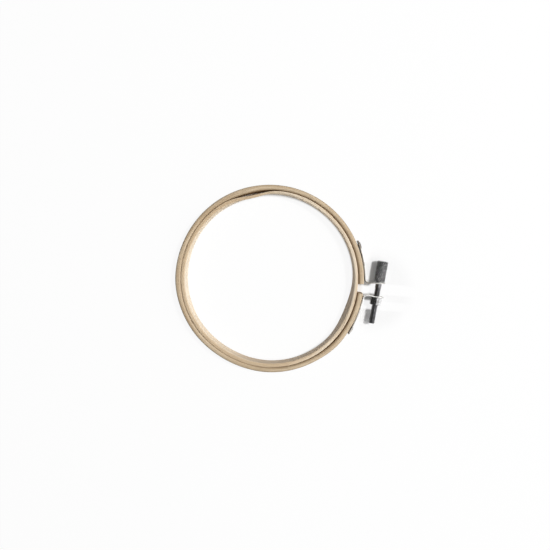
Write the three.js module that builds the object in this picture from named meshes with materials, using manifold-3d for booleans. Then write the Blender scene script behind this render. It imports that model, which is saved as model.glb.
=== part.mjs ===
// Embroidery hoop: a closed inner hoop nested in a split outer hoop, whose two ends are
// drawn together by a knurled thumb screw that passes through two riveted metal brackets.
// Millimetres, +Z up. The hoop lies flat on z = 0 with its clamp towards +X, and the origin
// is on that plane, under the middle of the whole object.

import * as THREE from 'three';
import { mergeVertices } from 'three/addons/utils/BufferGeometryUtils.js';
import Module from 'manifold-3d';

// Wooden strips: the split outer hoop and the closed inner hoop
const hoopHeight = 9;
const outerRadius = 53.7;
const outerThickness = 2.8;
const outerEdgeRadius = 0.95;
const innerThickness = 2.2;
const innerEdgeRadius = 0.5;
const hoopClearance = 0.3;
const splitWidth = 5.4;

// The bent strips aren't perfectly round: each place is an angle, a spread and a depth or height.
// Both hoops are a little flat at the back. The outer one is bowed at the side, and its lower
// arm springs out.
const backFlatAngle = 246;
const backFlatSpread = 25;
const backFlatDepth = 0.7;
const sideBowAngle = 186;
const sideBowSpread = 16;
const sideBowHeight = 0.45;
const armBowAngle = -39;
const armBowSpread = 12;
const armBowHeight = 0.5;
// The inner hoop's upper edge springs in here, and its foot stays against the outer hoop.
const innerFlatAngle = 112;
const innerFlatSpread = 15;
const innerFlatDepth = 1.9;
// The inner hoop's ends are scarfed and glued here, where its foot leans inwards.
const scarfAngle = -17;
const scarfSpread = 19;
const scarfLean = 1.5;

// Sheet metal brackets: a plate along the hoop, a bend and a lug that stands out. The plate
// is bent less than the hoop, so it seats near the split and stands off at its far end, and
// the two lugs splay apart.
const sheetThickness = 0.5;
const bracketHeight = 7.6;
const plateReach = 27.5;
const plateContact = 12;
const plateCurveRadius = 80;
const bendRadius = 2.6;
const lugInset = 1.2;
const lugSplay = 4.5;
const lugOverhang = 3.6;
const lugCornerRadius = 2.8;
const plateCornerRadius = 1;

// Rivets: a domed one near each plate's far end and a low one near its bend
const rivetRadius = 0.9;
const rivetSetback = 3;
const rivetSpacing = 10.8;
const domedHeadRadius = 2.2;
const domedHeadHeight = 0.75;
const lowHeadRadius = 1.6;
const lowHeadHeight = 0.4;
const rivetTailRadius = 1.6;
const rivetTailThickness = 0.4;
const rivetTailRecess = 0.2;

// Thumb screw and nut
const screwStandoff = 8.4;
const screwLean = 4.5;
const screwRadius = 1.75;
const screwLengthBelowLug = 15.4;
const screwEndChamfer = 0.4;
const headRadius = 3.1;
const headLength = 11.6;
const headChamfer = 0.45;
const knurlDepth = 0.28;
const knurlsRound = 16;
const knurlsAlong = 6;
const nutAcrossFlats = 6;
const nutLength = 4.4;
const nutChamfer = 0.5;

// Fits between the metal pieces, and between metal and wood
const seatGap = 0.2;
const rivetClearance = 0.15;
const lugHoleClearance = 0.3;
const nutThreadClearance = 0.2;

// How finely round shapes are drawn
const stripSegments = 120;
const edgeSteps = 3;
const arcSegments = 8;
const boreSegments = 24;
const domeSteps = 5;
const cornerSegments = 4;

const degree = Math.PI / 180;
const halfHeight = hoopHeight / 2;
const leanAngle = screwLean * degree;
const splayAngle = lugSplay * degree;

// Places that several pieces share, measured from the hoop's centre
const splitHalfAngle = Math.asin(splitWidth / 2 / outerRadius);
const lugMiddle = splitWidth / 2 + lugInset;
const screwX = outerRadius + screwStandoff;
const screwEnd = lugMiddle + sheetThickness / 2 + screwLengthBelowLug;
const nutCornerRadius = nutAcrossFlats / 2 / Math.cos(Math.PI / 6);
const headSeat = seatAlongScrew(1, headRadius - headChamfer);
const nutSeat = seatAlongScrew(-1, nutCornerRadius - nutChamfer);
const lugTip = screwX + lugOverhang;
const headTopReach = (headSeat + headLength) * Math.sin(leanAngle) + headRadius;
const clampReach = Math.max(lugTip, screwX + headTopReach, screwX + nutCornerRadius);
const hoopCentreX = (outerRadius + sideBowHeight - clampReach) / 2;

// The plate's own centre of curvature, and angles about it
const contactAngle = plateContact / outerRadius;
const curveOffset = plateCurveRadius - outerRadius - seatGap - sheetThickness / 2;
const curveCentreX = -curveOffset * Math.cos(contactAngle);
const curveCentreY = -curveOffset * Math.sin(contactAngle);
const plateEndAngle = contactAngle + (plateReach - plateContact) / plateCurveRadius;
const farRivetAngle = plateEndAngle - rivetSetback / plateCurveRadius;
const nearRivetAngle = farRivetAngle - rivetSpacing / plateCurveRadius;

// How far along a lug, from its place above the screw's middle, the leaning screw crosses it;
// side is 1 for the upper lug and -1 for the lower one
function alongLug(side) {
  const slope = side * Math.tan(leanAngle);
  return (slope * lugMiddle) / (Math.cos(splayAngle) - slope * Math.sin(splayAngle));
}

// How far from its middle the screw carries a flat face of a radius that rests on a lug
function seatAlongScrew(side, radius) {
  const lugHeight = lugMiddle + alongLug(side) * Math.sin(splayAngle);
  const tilt = Math.abs(splayAngle + side * leanAngle);
  const face = lugHeight / Math.cos(leanAngle) + sheetThickness / 2 / Math.cos(tilt);
  return face + radius * Math.tan(tilt) + seatGap;
}

const wasm = await Module();
wasm.setup();

function toSolid(geometry) {
  const bare = geometry.clone();
  bare.deleteAttribute('normal');
  bare.deleteAttribute('uv');
  const merged = mergeVertices(bare, 1e-5);
  const mesh = new wasm.Mesh({
    numProp: 3,
    vertProperties: new Float32Array(merged.attributes.position.array),
    triVerts: new Uint32Array(merged.index.array),
  });
  return new wasm.Manifold(mesh);
}

function toGeometry(solid) {
  const mesh = solid.getMesh();
  const geometry = new THREE.BufferGeometry();
  geometry.setAttribute('position', new THREE.BufferAttribute(mesh.vertProperties, 3));
  geometry.setIndex(new THREE.BufferAttribute(mesh.triVerts, 1));
  geometry.computeVertexNormals();
  return geometry;
}

function surface(points, triangles) {
  const geometry = new THREE.BufferGeometry();
  geometry.setAttribute('position', new THREE.Float32BufferAttribute(points.flat(), 3));
  geometry.setIndex(triangles.flat());
  geometry.computeVertexNormals();
  return geometry;
}

// A smooth hump of height 1 at a place round the hoop, angles in radians
function hump(angle, placeDegrees, spreadDegrees) {
  const turn = angle / degree - placeDegrees;
  const distance = turn - 360 * Math.round(turn / 360);
  return Math.exp(-((distance / spreadDegrees) ** 2));
}

// How far both hoops lie inside a circle
function backFlatAt(angle) {
  return backFlatDepth * hump(angle, backFlatAngle, backFlatSpread);
}

function outerOutsideAt(angle) {
  const sideBow = sideBowHeight * hump(angle, sideBowAngle, sideBowSpread);
  const armBow = armBowHeight * hump(angle, armBowAngle, armBowSpread);
  return outerRadius + sideBow + armBow - backFlatAt(angle);
}

function outerInsideAt(angle) {
  return outerOutsideAt(angle) - outerThickness;
}

function innerFlatAt(angle) {
  return innerFlatDepth * hump(angle, innerFlatAngle, innerFlatSpread);
}

// The inner hoop's outer face at its upper edge
function innerOutsideAt(angle) {
  const nested = outerRadius - outerThickness - hoopClearance;
  return nested - backFlatAt(angle) - innerFlatAt(angle);
}

// The section of a strip at one angle, as [radius, height] points with rounded edges; lean is
// how far its foot stands inside its upper edge
function stripSection(insideRadius, outsideRadius, edgeRadius, lean) {
  const low = edgeRadius;
  const high = hoopHeight - edgeRadius;
  const corners = [
    { radius: outsideRadius - edgeRadius, level: low, start: -0.5 },
    { radius: outsideRadius - edgeRadius, level: high, start: 0 },
    { radius: insideRadius + edgeRadius, level: high, start: 0.5 },
    { radius: insideRadius + edgeRadius, level: low, start: 1 },
  ];
  const points = [];
  for (const corner of corners) {
    for (let step = 0; step <= edgeSteps; step += 1) {
      const turn = (corner.start + (0.5 * step) / edgeSteps) * Math.PI;
      const level = corner.level + edgeRadius * Math.sin(turn);
      const shift = lean * (1 - level / hoopHeight);
      points.push([corner.radius + edgeRadius * Math.cos(turn) - shift, level]);
    }
  }
  return points;
}

// Sweeps sections round the hoop's centre, as a closed ring or with two flat ends
function sweepStrip(startAngle, endAngle, closed, sectionAt) {
  const rings = closed ? stripSegments : stripSegments + 1;
  const points = [];
  const triangles = [];
  let around = 0;
  for (let ring = 0; ring < rings; ring += 1) {
    const angle = startAngle + ((endAngle - startAngle) * ring) / stripSegments;
    const section = sectionAt(angle);
    around = section.length;
    for (const [radius, level] of section) {
      points.push([radius * Math.cos(angle), radius * Math.sin(angle), level]);
    }
  }
  for (let ring = 0; ring < stripSegments; ring += 1) {
    const here = ring * around;
    const next = ((ring + 1) % rings) * around;
    for (let side = 0; side < around; side += 1) {
      const other = (side + 1) % around;
      triangles.push([here + side, next + side, next + other]);
      triangles.push([here + side, next + other, here + other]);
    }
  }
  if (!closed) {
    const last = stripSegments * around;
    for (let side = 1; side < around - 1; side += 1) {
      triangles.push([0, side, side + 1]);
      triangles.push([last, last + side + 1, last + side]);
    }
  }
  return surface(points, triangles);
}

// A turned piece along +Y from an outline of [radius, height] points that ends on the axis
function turned(outline, segments = boreSegments) {
  return new THREE.LatheGeometry(outline.map(([radius, y]) => new THREE.Vector2(radius, y)), segments);
}

// How far from the plate's centre of curvature a rivet's line crosses a radius of the hoop
function alongRivet(rivetAngle, radius) {
  const across = curveCentreX * Math.cos(rivetAngle) + curveCentreY * Math.sin(rivetAngle);
  return Math.sqrt(across ** 2 - curveOffset ** 2 + radius ** 2) - across;
}

// The outer hoop's inner face on a rivet's line; side is 1 above the clamp's middle line, -1 below
function woodInsideAt(rivetAngle, side) {
  const x = curveCentreX + plateCurveRadius * Math.cos(rivetAngle);
  const y = curveCentreY + plateCurveRadius * Math.sin(rivetAngle);
  return alongRivet(rivetAngle, outerInsideAt(side * Math.atan2(y, x)));
}

// The hollow for one rivet: a bore through the strip and a wider recess for its tail
function rivetHollow(rivetAngle, side) {
  const wood = woodInsideAt(rivetAngle, side);
  const inside = wood - outerEdgeRadius;
  const step = wood + rivetTailRecess + rivetTailThickness + seatGap;
  const outside = plateCurveRadius;
  const bore = rivetRadius + rivetClearance;
  const recess = rivetTailRadius + rivetClearance;
  const outline = [[0, inside], [recess, inside], [recess, step], [bore, step], [bore, outside], [0, outside]];
  const geometry = turned(outline);
  geometry.rotateZ(rivetAngle - Math.PI / 2);
  geometry.translate(curveCentreX, curveCentreY, 0);
  if (side < 0) geometry.rotateX(Math.PI);
  geometry.translate(0, 0, halfHeight);
  return toSolid(geometry);
}

function outerHoop() {
  const sectionAt = (angle) => {
    return stripSection(outerInsideAt(angle), outerOutsideAt(angle), outerEdgeRadius, 0);
  };
  let solid = toSolid(sweepStrip(splitHalfAngle, 2 * Math.PI - splitHalfAngle, false, sectionAt));
  for (const side of [1, -1]) {
    solid = solid.subtract(rivetHollow(nearRivetAngle, side)).subtract(rivetHollow(farRivetAngle, side));
  }
  return toGeometry(solid);
}

function innerHoop() {
  const sectionAt = (angle) => {
    const outside = innerOutsideAt(angle);
    const lean = scarfLean * hump(angle, scarfAngle, scarfSpread) - innerFlatAt(angle);
    return stripSection(outside - innerThickness, outside, innerEdgeRadius, lean);
  };
  return sweepStrip(0, 2 * Math.PI, true, sectionAt);
}

// The folded sheet seen from above: along the hoop, round the bend and out along the lug
function bracketSheet() {
  const half = sheetThickness / 2;
  const along = new THREE.Vector2(Math.cos(splayAngle), Math.sin(splayAngle));
  const across = new THREE.Vector2(-along.y, along.x);
  const lugPlace = new THREE.Vector2(screwX, lugMiddle);
  const curveCentre = new THREE.Vector2(curveCentreX, curveCentreY);
  const offset = lugPlace.clone().addScaledVector(across, bendRadius).sub(curveCentre);
  const reach = Math.sqrt((plateCurveRadius + bendRadius) ** 2 - offset.dot(across) ** 2);
  const bend = curveCentre.clone().addScaledVector(along, reach);
  bend.addScaledVector(across, offset.dot(across));
  const bendAngle = Math.atan2(bend.y - curveCentreY, bend.x - curveCentreX);
  const bendStart = bendAngle + Math.PI;
  const bendEnd = splayAngle + 1.5 * Math.PI;
  const tip = lugPlace.clone().addScaledVector(along, lugOverhang);
  const shape = new THREE.Shape();
  shape.absarc(curveCentreX, curveCentreY, plateCurveRadius - half, plateEndAngle, bendAngle, true);
  shape.absarc(bend.x, bend.y, bendRadius + half, bendStart, bendEnd, false);
  shape.lineTo(tip.x - half * across.x, tip.y - half * across.y);
  shape.lineTo(tip.x + half * across.x, tip.y + half * across.y);
  shape.absarc(bend.x, bend.y, bendRadius - half, bendEnd, bendStart, true);
  shape.absarc(curveCentreX, curveCentreY, plateCurveRadius + half, bendAngle, plateEndAngle, false);
  shape.closePath();
  const options = { depth: bracketHeight, bevelEnabled: false, curveSegments: arcSegments };
  const geometry = new THREE.ExtrudeGeometry(shape, options);
  geometry.translate(0, 0, -bracketHeight / 2);
  return geometry;
}

// A block that ends at a point, square to a direction, with two rounded corners
function roundedEnd(x, y, direction, cornerRadius) {
  const half = bracketHeight / 2;
  const size = 2 * outerRadius;
  const shape = new THREE.Shape();
  shape.moveTo(-size, -half);
  shape.lineTo(-cornerRadius, -half);
  shape.absarc(-cornerRadius, cornerRadius - half, cornerRadius, -Math.PI / 2, 0, false);
  shape.absarc(-cornerRadius, half - cornerRadius, cornerRadius, 0, Math.PI / 2, false);
  shape.lineTo(-size, half);
  shape.closePath();
  const options = { depth: size, bevelEnabled: false, curveSegments: cornerSegments };
  const geometry = new THREE.ExtrudeGeometry(shape, options);
  geometry.translate(0, 0, -size / 2);
  geometry.rotateX(Math.PI / 2);
  geometry.rotateZ(direction);
  geometry.translate(x, y, 0);
  return toSolid(geometry);
}

// A bore through the sheet; along is the direction of its axis
function sheetBore(radius, x, y, along) {
  const geometry = new THREE.CylinderGeometry(radius, radius, 4 * sheetThickness, boreSegments);
  geometry.rotateZ(along - Math.PI / 2);
  geometry.translate(x, y, 0);
  return toSolid(geometry);
}

// One bracket, lying along +Y of the clamp's middle line, centred on its own height
function bracket(side) {
  const lugEndX = screwX + lugOverhang * Math.cos(splayAngle);
  const lugEndY = lugMiddle + lugOverhang * Math.sin(splayAngle);
  const plateEndX = curveCentreX + plateCurveRadius * Math.cos(plateEndAngle);
  const plateEndY = curveCentreY + plateCurveRadius * Math.sin(plateEndAngle);
  let solid = toSolid(bracketSheet());
  solid = solid.intersect(roundedEnd(lugEndX, lugEndY, splayAngle, lugCornerRadius));
  solid = solid.intersect(roundedEnd(plateEndX, plateEndY, plateEndAngle + Math.PI / 2, plateCornerRadius));
  const holeX = screwX + alongLug(side) * Math.cos(splayAngle);
  const holeY = lugMiddle + alongLug(side) * Math.sin(splayAngle);
  const holeRadius = screwRadius + lugHoleClearance;
  solid = solid.subtract(sheetBore(holeRadius, holeX, holeY, splayAngle + Math.PI / 2));
  for (const angle of [nearRivetAngle, farRivetAngle]) {
    const x = curveCentreX + plateCurveRadius * Math.cos(angle);
    const y = curveCentreY + plateCurveRadius * Math.sin(angle);
    solid = solid.subtract(sheetBore(rivetRadius + rivetClearance, x, y, angle));
  }
  return toGeometry(solid);
}

// A rivet from its tail, sunk in the strip's inner face, to its head outside the plate.
// Its height along Y is its distance from the plate's centre of curvature.
function rivet(rivetAngle, side, rivetHeadRadius, rivetHeadHeight) {
  const tail = woodInsideAt(rivetAngle, side) + rivetTailRecess;
  const tailTop = tail + rivetTailThickness;
  const seat = plateCurveRadius + sheetThickness / 2 + seatGap;
  const outline = [[0, tail], [rivetTailRadius, tail], [rivetTailRadius, tailTop], [rivetRadius, tailTop]];
  outline.push([rivetRadius, seat]);
  for (let step = 0; step <= domeSteps; step += 1) {
    const turn = (0.5 * Math.PI * step) / domeSteps;
    const radius = step === domeSteps ? 0 : rivetHeadRadius * Math.cos(turn);
    outline.push([radius, seat + rivetHeadHeight * Math.sin(turn)]);
  }
  return turned(outline);
}

// The thumb screw along +Y, with y = 0 on the clamp's middle line. Its head is knurled:
// crossed helical grooves leave small pyramids, whose tips and feet are the rings' points.
function clampScrew() {
  const columns = 2 * knurlsRound;
  const rows = 2 * knurlsAlong;
  const knurlFoot = headSeat + headChamfer;
  const knurlLength = headLength - 2 * headChamfer;
  const rings = [
    { radius: screwRadius - screwEndChamfer, y: -screwEnd },
    { radius: screwRadius, y: screwEndChamfer - screwEnd },
    { radius: screwRadius, y: headSeat },
    { radius: headRadius - headChamfer, y: headSeat },
  ];
  for (let row = 0; row <= rows; row += 1) {
    rings.push({ radius: headRadius, y: knurlFoot + (knurlLength * row) / rows, row });
  }
  rings.push({ radius: headRadius - headChamfer, y: headSeat + headLength });
  const points = [];
  for (const ring of rings) {
    for (let column = 0; column < columns; column += 1) {
      const turn = (2 * Math.PI * column) / columns;
      const groove = ring.row !== undefined && (ring.row + column) % 2 === 0;
      const radius = groove ? ring.radius - knurlDepth : ring.radius;
      points.push([radius * Math.sin(turn), ring.y, radius * Math.cos(turn)]);
    }
  }
  const endPoint = points.push([0, -screwEnd, 0]) - 1;
  const topPoint = points.push([0, headSeat + headLength, 0]) - 1;
  const triangles = [];
  for (let ring = 0; ring < rings.length - 1; ring += 1) {
    for (let column = 0; column < columns; column += 1) {
      const low = ring * columns + column;
      const lowNext = ring * columns + ((column + 1) % columns);
      const high = low + columns;
      const highNext = lowNext + columns;
      const lowIsGroove = rings[ring].row !== undefined && (rings[ring].row + column) % 2 === 0;
      if (lowIsGroove) {
        triangles.push([low, lowNext, highNext], [low, highNext, high]);
      } else {
        triangles.push([low, lowNext, high], [lowNext, highNext, high]);
      }
    }
  }
  const lastRing = (rings.length - 1) * columns;
  for (let column = 0; column < columns; column += 1) {
    const next = (column + 1) % columns;
    triangles.push([endPoint, next, column]);
    triangles.push([topPoint, lastRing + column, lastRing + next]);
  }
  return surface(points, triangles);
}

// The nut along Y, from its seat under the lower lug downwards
function clampNut() {
  const middle = -nutSeat - nutLength / 2;
  const hexagon = new THREE.CylinderGeometry(nutCornerRadius, nutCornerRadius, nutLength, 6);
  hexagon.translate(0, middle, 0);
  const half = nutLength / 2;
  const chamferRise = nutChamfer * Math.tan(Math.PI / 6);
  const chamfered = turned([
    [0, middle - half],
    [nutCornerRadius - nutChamfer, middle - half],
    [nutCornerRadius + seatGap, middle - half + chamferRise],
    [nutCornerRadius + seatGap, middle + half - chamferRise],
    [nutCornerRadius - nutChamfer, middle + half],
    [0, middle + half],
  ]);
  const boreRadius = screwRadius + nutThreadClearance;
  const bore = new THREE.CylinderGeometry(boreRadius, boreRadius, 2 * nutLength, boreSegments);
  bore.translate(0, middle, 0);
  return toGeometry(toSolid(hexagon).intersect(toSolid(chamfered)).subtract(toSolid(bore)));
}

function wood(color) {
  return new THREE.MeshStandardMaterial({ color, roughness: 0.62, metalness: 0 });
}

function metal(color, roughness) {
  return new THREE.MeshStandardMaterial({ color, roughness, metalness: 1 });
}

const hoop = new THREE.Group();
hoop.position.x = hoopCentreX;

function place(parent, name, geometry, material) {
  const mesh = new THREE.Mesh(geometry, material);
  mesh.name = name;
  parent.add(mesh);
  return mesh;
}

place(hoop, 'outer_hoop', outerHoop(), wood(0xc8aa80));
place(hoop, 'inner_hoop', innerHoop(), wood(0xddc8a6));

// The two brackets are one part, upright above the clamp's middle line and turned over below it
const rivets = [
  { place: 'near', angle: nearRivetAngle, radius: lowHeadRadius, height: lowHeadHeight },
  { place: 'far', angle: farRivetAngle, radius: domedHeadRadius, height: domedHeadHeight },
];
for (const [end, side] of [['upper', 1], ['lower', -1]]) {
  const group = new THREE.Group();
  group.position.z = halfHeight;
  group.rotation.x = side > 0 ? 0 : Math.PI;
  hoop.add(group);
  place(group, `${end}_bracket`, bracket(side), metal(0xb4b3af, 0.3));
  for (const { place: spot, angle, radius, height } of rivets) {
    const piece = place(group, `${end}_${spot}_rivet`, rivet(angle, side, radius, height), metal(0x8d8b87, 0.35));
    piece.position.set(curveCentreX, curveCentreY, 0);
    piece.rotation.z = angle - Math.PI / 2;
  }
}

// The screw leans a little in the lugs' clearance holes, and the nut follows its axis
const clamp = new THREE.Group();
clamp.position.set(screwX, 0, halfHeight);
clamp.rotation.z = -leanAngle;
hoop.add(clamp);
place(clamp, 'clamp_screw', clampScrew(), metal(0x3f4043, 0.35));
place(clamp, 'clamp_nut', clampNut(), metal(0x77787b, 0.3));

export default hoop;
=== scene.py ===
import math

import bmesh
import bpy
import numpy as np
from mathutils import Matrix, Vector


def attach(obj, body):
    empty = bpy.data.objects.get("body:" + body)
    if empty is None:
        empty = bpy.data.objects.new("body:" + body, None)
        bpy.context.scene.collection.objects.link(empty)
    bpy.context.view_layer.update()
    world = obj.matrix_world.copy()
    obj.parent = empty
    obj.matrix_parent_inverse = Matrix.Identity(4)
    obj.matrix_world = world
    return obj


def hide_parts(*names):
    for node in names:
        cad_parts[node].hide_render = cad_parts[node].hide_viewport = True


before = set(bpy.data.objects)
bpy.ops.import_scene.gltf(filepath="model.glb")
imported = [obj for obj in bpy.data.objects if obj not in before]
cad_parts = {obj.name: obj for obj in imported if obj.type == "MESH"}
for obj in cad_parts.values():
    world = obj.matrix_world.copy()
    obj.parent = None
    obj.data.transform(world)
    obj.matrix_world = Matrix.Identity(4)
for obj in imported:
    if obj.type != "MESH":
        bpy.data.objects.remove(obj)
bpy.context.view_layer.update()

# Millimetres, as in the part's source; every mesh is scaled to metres when it is made
MM = 0.001
HOOP_HEIGHT = 9.0
OUTER_RADIUS = 53.7
OUTER_THICKNESS = 2.8
INNER_THICKNESS = 2.2
HOOP_CLEARANCE = 0.3
SPLIT_WIDTH = 5.4

# Rounded edges of a strip's section, at its outer and its inner side
OUTER_EDGES = (1.45, 1.2)
CLAMPED_EDGES = (0.7, 1.2)
INNER_EDGES = (0.5, 0.85)

# Where the strips stray from a circle: place and spread in degrees, then depth or height
BACK_FLAT = (246, 25, 0.7)
SIDE_BOW = (186, 16, 0.45)
ARM_BOW = (-39, 12, 0.5)
INNER_FLAT = (106, 11.5, 1.97)
INNER_PRESS = (107, 18, 0.13)
INNER_THIN = (92, 19, 0.75)
SEAM_SWELL = (111, 14, 0.6)
CLAMP_EASE = (-12, 22, 0.32)
SCARF = (-17, 19, 1.5)

# The seam between the strips: its width, where it is closed (first and last degree, and the
# fade), and how much of the bow and the ease the outer strip's inner side fills
OPEN_SEAM = 0.16
CLOSED_SEAM = 0.04
SEAM_CLOSED = (142, 282, 14)
ARM_FILL = 0.6
CLAMP_FILL = 0.6

# The strips' meshes: rings round the hoop, the angle in degrees from which an edge is sharp, and
# the steps of a section's corner, wall and top
STRIP_RINGS = 900
WOOD_SHARP = 45
SECTION_STEPS = (9, 16, 5)
# In degrees: how far before the scarf the inner strip's mesh begins, and how far to each side of
# the plates' ends the outer strip's edges change
SCARF_LEAD = 22
CLAMPED_FADE = 3
# Uneven faces: depth, and spacing in rings
FINE_FIBRES = (0.035, 9)
BROAD_FIBRES = (0.03, 38)
TOOL_WAVES = (0.05, 26)
# Where a closed strip's mesh meets itself: an even depth, over this share of its rings
JOIN_DEPTH = 0.04
JOIN_SHARE = 0.03
# How far to each side a band of painted light or shade fades along the strip, and the glue line's soft border
PAINT_FADE = 14
GLUE_BORDERS = (0.05, 0.12)

SHEET = 0.5
SHEET_BEVEL = 0.11
BRACKET_HEIGHT = 7.6
PLATE_REACH = 27.5
PLATE_CONTACT = 12.0
PLATE_CURVE = 80.0
BEND_RADIUS = 2.6
BEND_STEPS = 18
SHEET_SHARP = 40
SHEET_CUT = 1.0
BEVEL_STEPS = 3
BEVEL_ANGLE = 50
CORNER_STEPS = 8
HOLE_STEPS = 40
SHEET_ROWS = (-2.4, 0.0, 2.4)
LUG_INSET = 1.2
SPLAY = math.radians(4.5)
LUG_OVERHANG = 3.6
LUG_CORNER = 2.8
PLATE_CORNER = 1.0

RIVET_RADIUS = 0.9
RIVET_SETBACK = 3.0
RIVET_SPACING = 10.8
DOMED_HEAD = (2.2, 0.75)
LOW_HEAD = (1.6, 0.4)
TAIL_RADIUS = 1.6
TAIL_THICKNESS = 0.4
TAIL_RECESS = 0.2
RIVET_EASE = 0.05
DOME_STEPS = 14
DOME_FLAT = 0.06
DOME_FULLNESS = 0.92
RIVET_COLUMNS = 72
RIVET_SHARP = 38
CUTTER_COLUMNS = 48

SCREW_STANDOFF = 8.4
LEAN = math.radians(4.5)
SCREW_RADIUS = 1.75
SCREW_BELOW_LUG = 15.4
NECK_START = 0.4
NECK_EASE = 0.03
THREAD_PITCH = 0.6
THREAD_DEPTH = 0.6134 * THREAD_PITCH
RUN_OUT = 1.5 * THREAD_PITCH
END_CHAMFER = 0.42
END_SLOPE = 0.95
# The end's dish: radii and depths
DISH_RADII = (0.3, 0.7, 1.15)
DISH_DEPTHS = (0.10, 0.06, 0.015)
# Threads and the knurl are triangle waves cut flat: where a flank starts, and its share of the wave
THREAD_WAVE = (0.14, 0.62)
KNURL_WAVE = (0.3, 0.66)
BORE_WAVE = (0.15, 0.7)
SHANK_COLUMNS = 96
THREAD_STEPS = 9
SHANK_IN_HEAD = 0.25
SCREW_SHARP = 24

HEAD_RADIUS = 3.1
HEAD_LENGTH = 11.6
HEAD_CHAMFER = 0.45
KNURL_DEPTH = 0.28
KNURLS_ROUND = 16
KNURLS_ALONG = 6
KNURL_COLUMNS = 14
KNURL_RINGS = 140
# the groove value given to the head's plain parts, which keeps its painted glints and shade faint there
PLAIN_GROOVE = 0.17

NUT_FLATS = 6.0
NUT_LENGTH = 4.4
NUT_CHAMFER = 0.5
NUT_CORNER_EASE = 0.09
NUT_COLUMNS = 144
NUT_SHARP = 22
NUT_UV_RADIUS = 3.2
# Its rings outside: how far from an end the dense ones stop and the others start, and their counts
NUT_DENSE = 0.5
NUT_SPARSE = 0.7
NUT_DENSE_RINGS = 9
NUT_SPARSE_RINGS = 8
BORE_CLEARANCE = 0.12
BORE_THREAD_DEPTH = 0.22
BORE_CHAMFER = 0.35
BORE_SLOPE = 1.1
BORE_STEPS = 8
BORE_SINK = 0.02

SEAT_GAP = 0.2
RIVET_CLEARANCE = 0.15
LUG_CLEARANCE = 0.3

FLOOR_SIZE = 1600
FLOOR_STEPS = 8
# How white the floor is shown, and the distances over which that fades in or out: from the
# hoop's centre, from the clamp and from the lug's shade. Each place is from the screw's middle.
FLOOR_WHITE = 0.92
WHITE_INSIDE = (47.5, 49.5)
WHITE_OUTSIDE = (52.5, 54.5)
CLAMP_SHADE = (17, 27)
CLAMP_SHADE_PLACE = (-3, -1)
LUG_SHADE = (1.5, 3.2)
LUG_SHADE_PLACE = (-6, 3.2)
# Bands of painted light across the clamp, where the floor is shown white over the shadows of the screw and
# the nut: first and last y, fade, and how white
PAINTED_LIGHT_LUGS = (-3.0, 3.3, 0.7, 1.0)
PAINTED_LIGHT_NUT = (-12.2, -6.9, 0.7, 0.9)

# The camera, from the hoop's centre on the floor
EYE = (17.97, 24.2, 280.0)
LOOK = (3.31, 3.23, 9.0)
UP = (-0.0889, 0.9960, 0.0)
SENSOR = 36
FOCAL_PIXELS = 480.68
PICTURE_PIXELS = 550
CLIP_START = 0.002

HALF = HOOP_HEIGHT / 2
LUG_MIDDLE = SPLIT_WIDTH / 2 + LUG_INSET
SCREW_X = OUTER_RADIUS + SCREW_STANDOFF
SCREW_END = LUG_MIDDLE + SHEET / 2 + SCREW_BELOW_LUG
NUT_CORNER = NUT_FLATS / 2 / math.cos(math.pi / 6)


def along_lug(side):
    slope = side * math.tan(LEAN)
    return slope * LUG_MIDDLE / (math.cos(SPLAY) - slope * math.sin(SPLAY))


def seat_along_screw(side, radius):
    height = LUG_MIDDLE + along_lug(side) * math.sin(SPLAY)
    tilt = abs(SPLAY + side * LEAN)
    face = height / math.cos(LEAN) + SHEET / 2 / math.cos(tilt)
    return face + radius * math.tan(tilt) + SEAT_GAP


HEAD_SEAT = seat_along_screw(1, HEAD_RADIUS - HEAD_CHAMFER)
NUT_SEAT = seat_along_screw(-1, NUT_CORNER - NUT_CHAMFER)
HEAD_TOP_REACH = (HEAD_SEAT + HEAD_LENGTH) * math.sin(LEAN) + HEAD_RADIUS
CLAMP_REACH = max(SCREW_X + LUG_OVERHANG, SCREW_X + HEAD_TOP_REACH, SCREW_X + NUT_CORNER)
HOOP_X = (OUTER_RADIUS + SIDE_BOW[2] - CLAMP_REACH) / 2

CONTACT = PLATE_CONTACT / OUTER_RADIUS
CURVE_OFFSET = PLATE_CURVE - OUTER_RADIUS - SEAT_GAP - SHEET / 2
CURVE_X = -CURVE_OFFSET * math.cos(CONTACT)
CURVE_Y = -CURVE_OFFSET * math.sin(CONTACT)
PLATE_END = CONTACT + (PLATE_REACH - PLATE_CONTACT) / PLATE_CURVE
FAR_RIVET = PLATE_END - RIVET_SETBACK / PLATE_CURVE
NEAR_RIVET = FAR_RIVET - RIVET_SPACING / PLATE_CURVE


def ease(part):
    return part * part * (3 - 2 * part)


def degrees_from(angle, place):
    """How far an angle is from a place in degrees, from -180 to 180."""
    turn = np.degrees(angle) - place
    return turn - 360 * np.round(turn / 360)


def hump(angle, place):
    return place[2] * np.exp(-((degrees_from(angle, place[0]) / place[1]) ** 2))


def outer_outside(angle):
    return OUTER_RADIUS + hump(angle, SIDE_BOW) + hump(angle, ARM_BOW) - hump(angle, BACK_FLAT)


def outer_inside(angle):
    return outer_outside(angle) - OUTER_THICKNESS


def seam_closed(angle):
    """1 where the two strips nearly touch, at the left and the bottom, and 0 where a gap is open."""
    first, last, fade = SEAM_CLOSED
    turn = np.degrees(angle) % 360
    return ease(np.clip(np.minimum(turn - first, last - turn) / fade + 0.5, 0, 1))


def outer_seam_side(angle):
    swell = hump(angle, SIDE_BOW) + hump(angle, SEAM_SWELL)
    swell = swell + ARM_FILL * hump(angle, ARM_BOW) + CLAMP_FILL * hump(angle, CLAMP_EASE)
    gap = OPEN_SEAM + (CLOSED_SEAM - OPEN_SEAM) * seam_closed(angle)
    return outer_inside(angle) - swell - (HOOP_CLEARANCE - gap)


def clamped(angle):
    """1 where the bracket plates lie against the outer strip, and 0 away from them."""
    away = np.abs(degrees_from(angle, 0))
    return ease(np.clip((math.degrees(PLATE_END) + CLAMPED_FADE - away) / (2 * CLAMPED_FADE), 0, 1))


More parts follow.
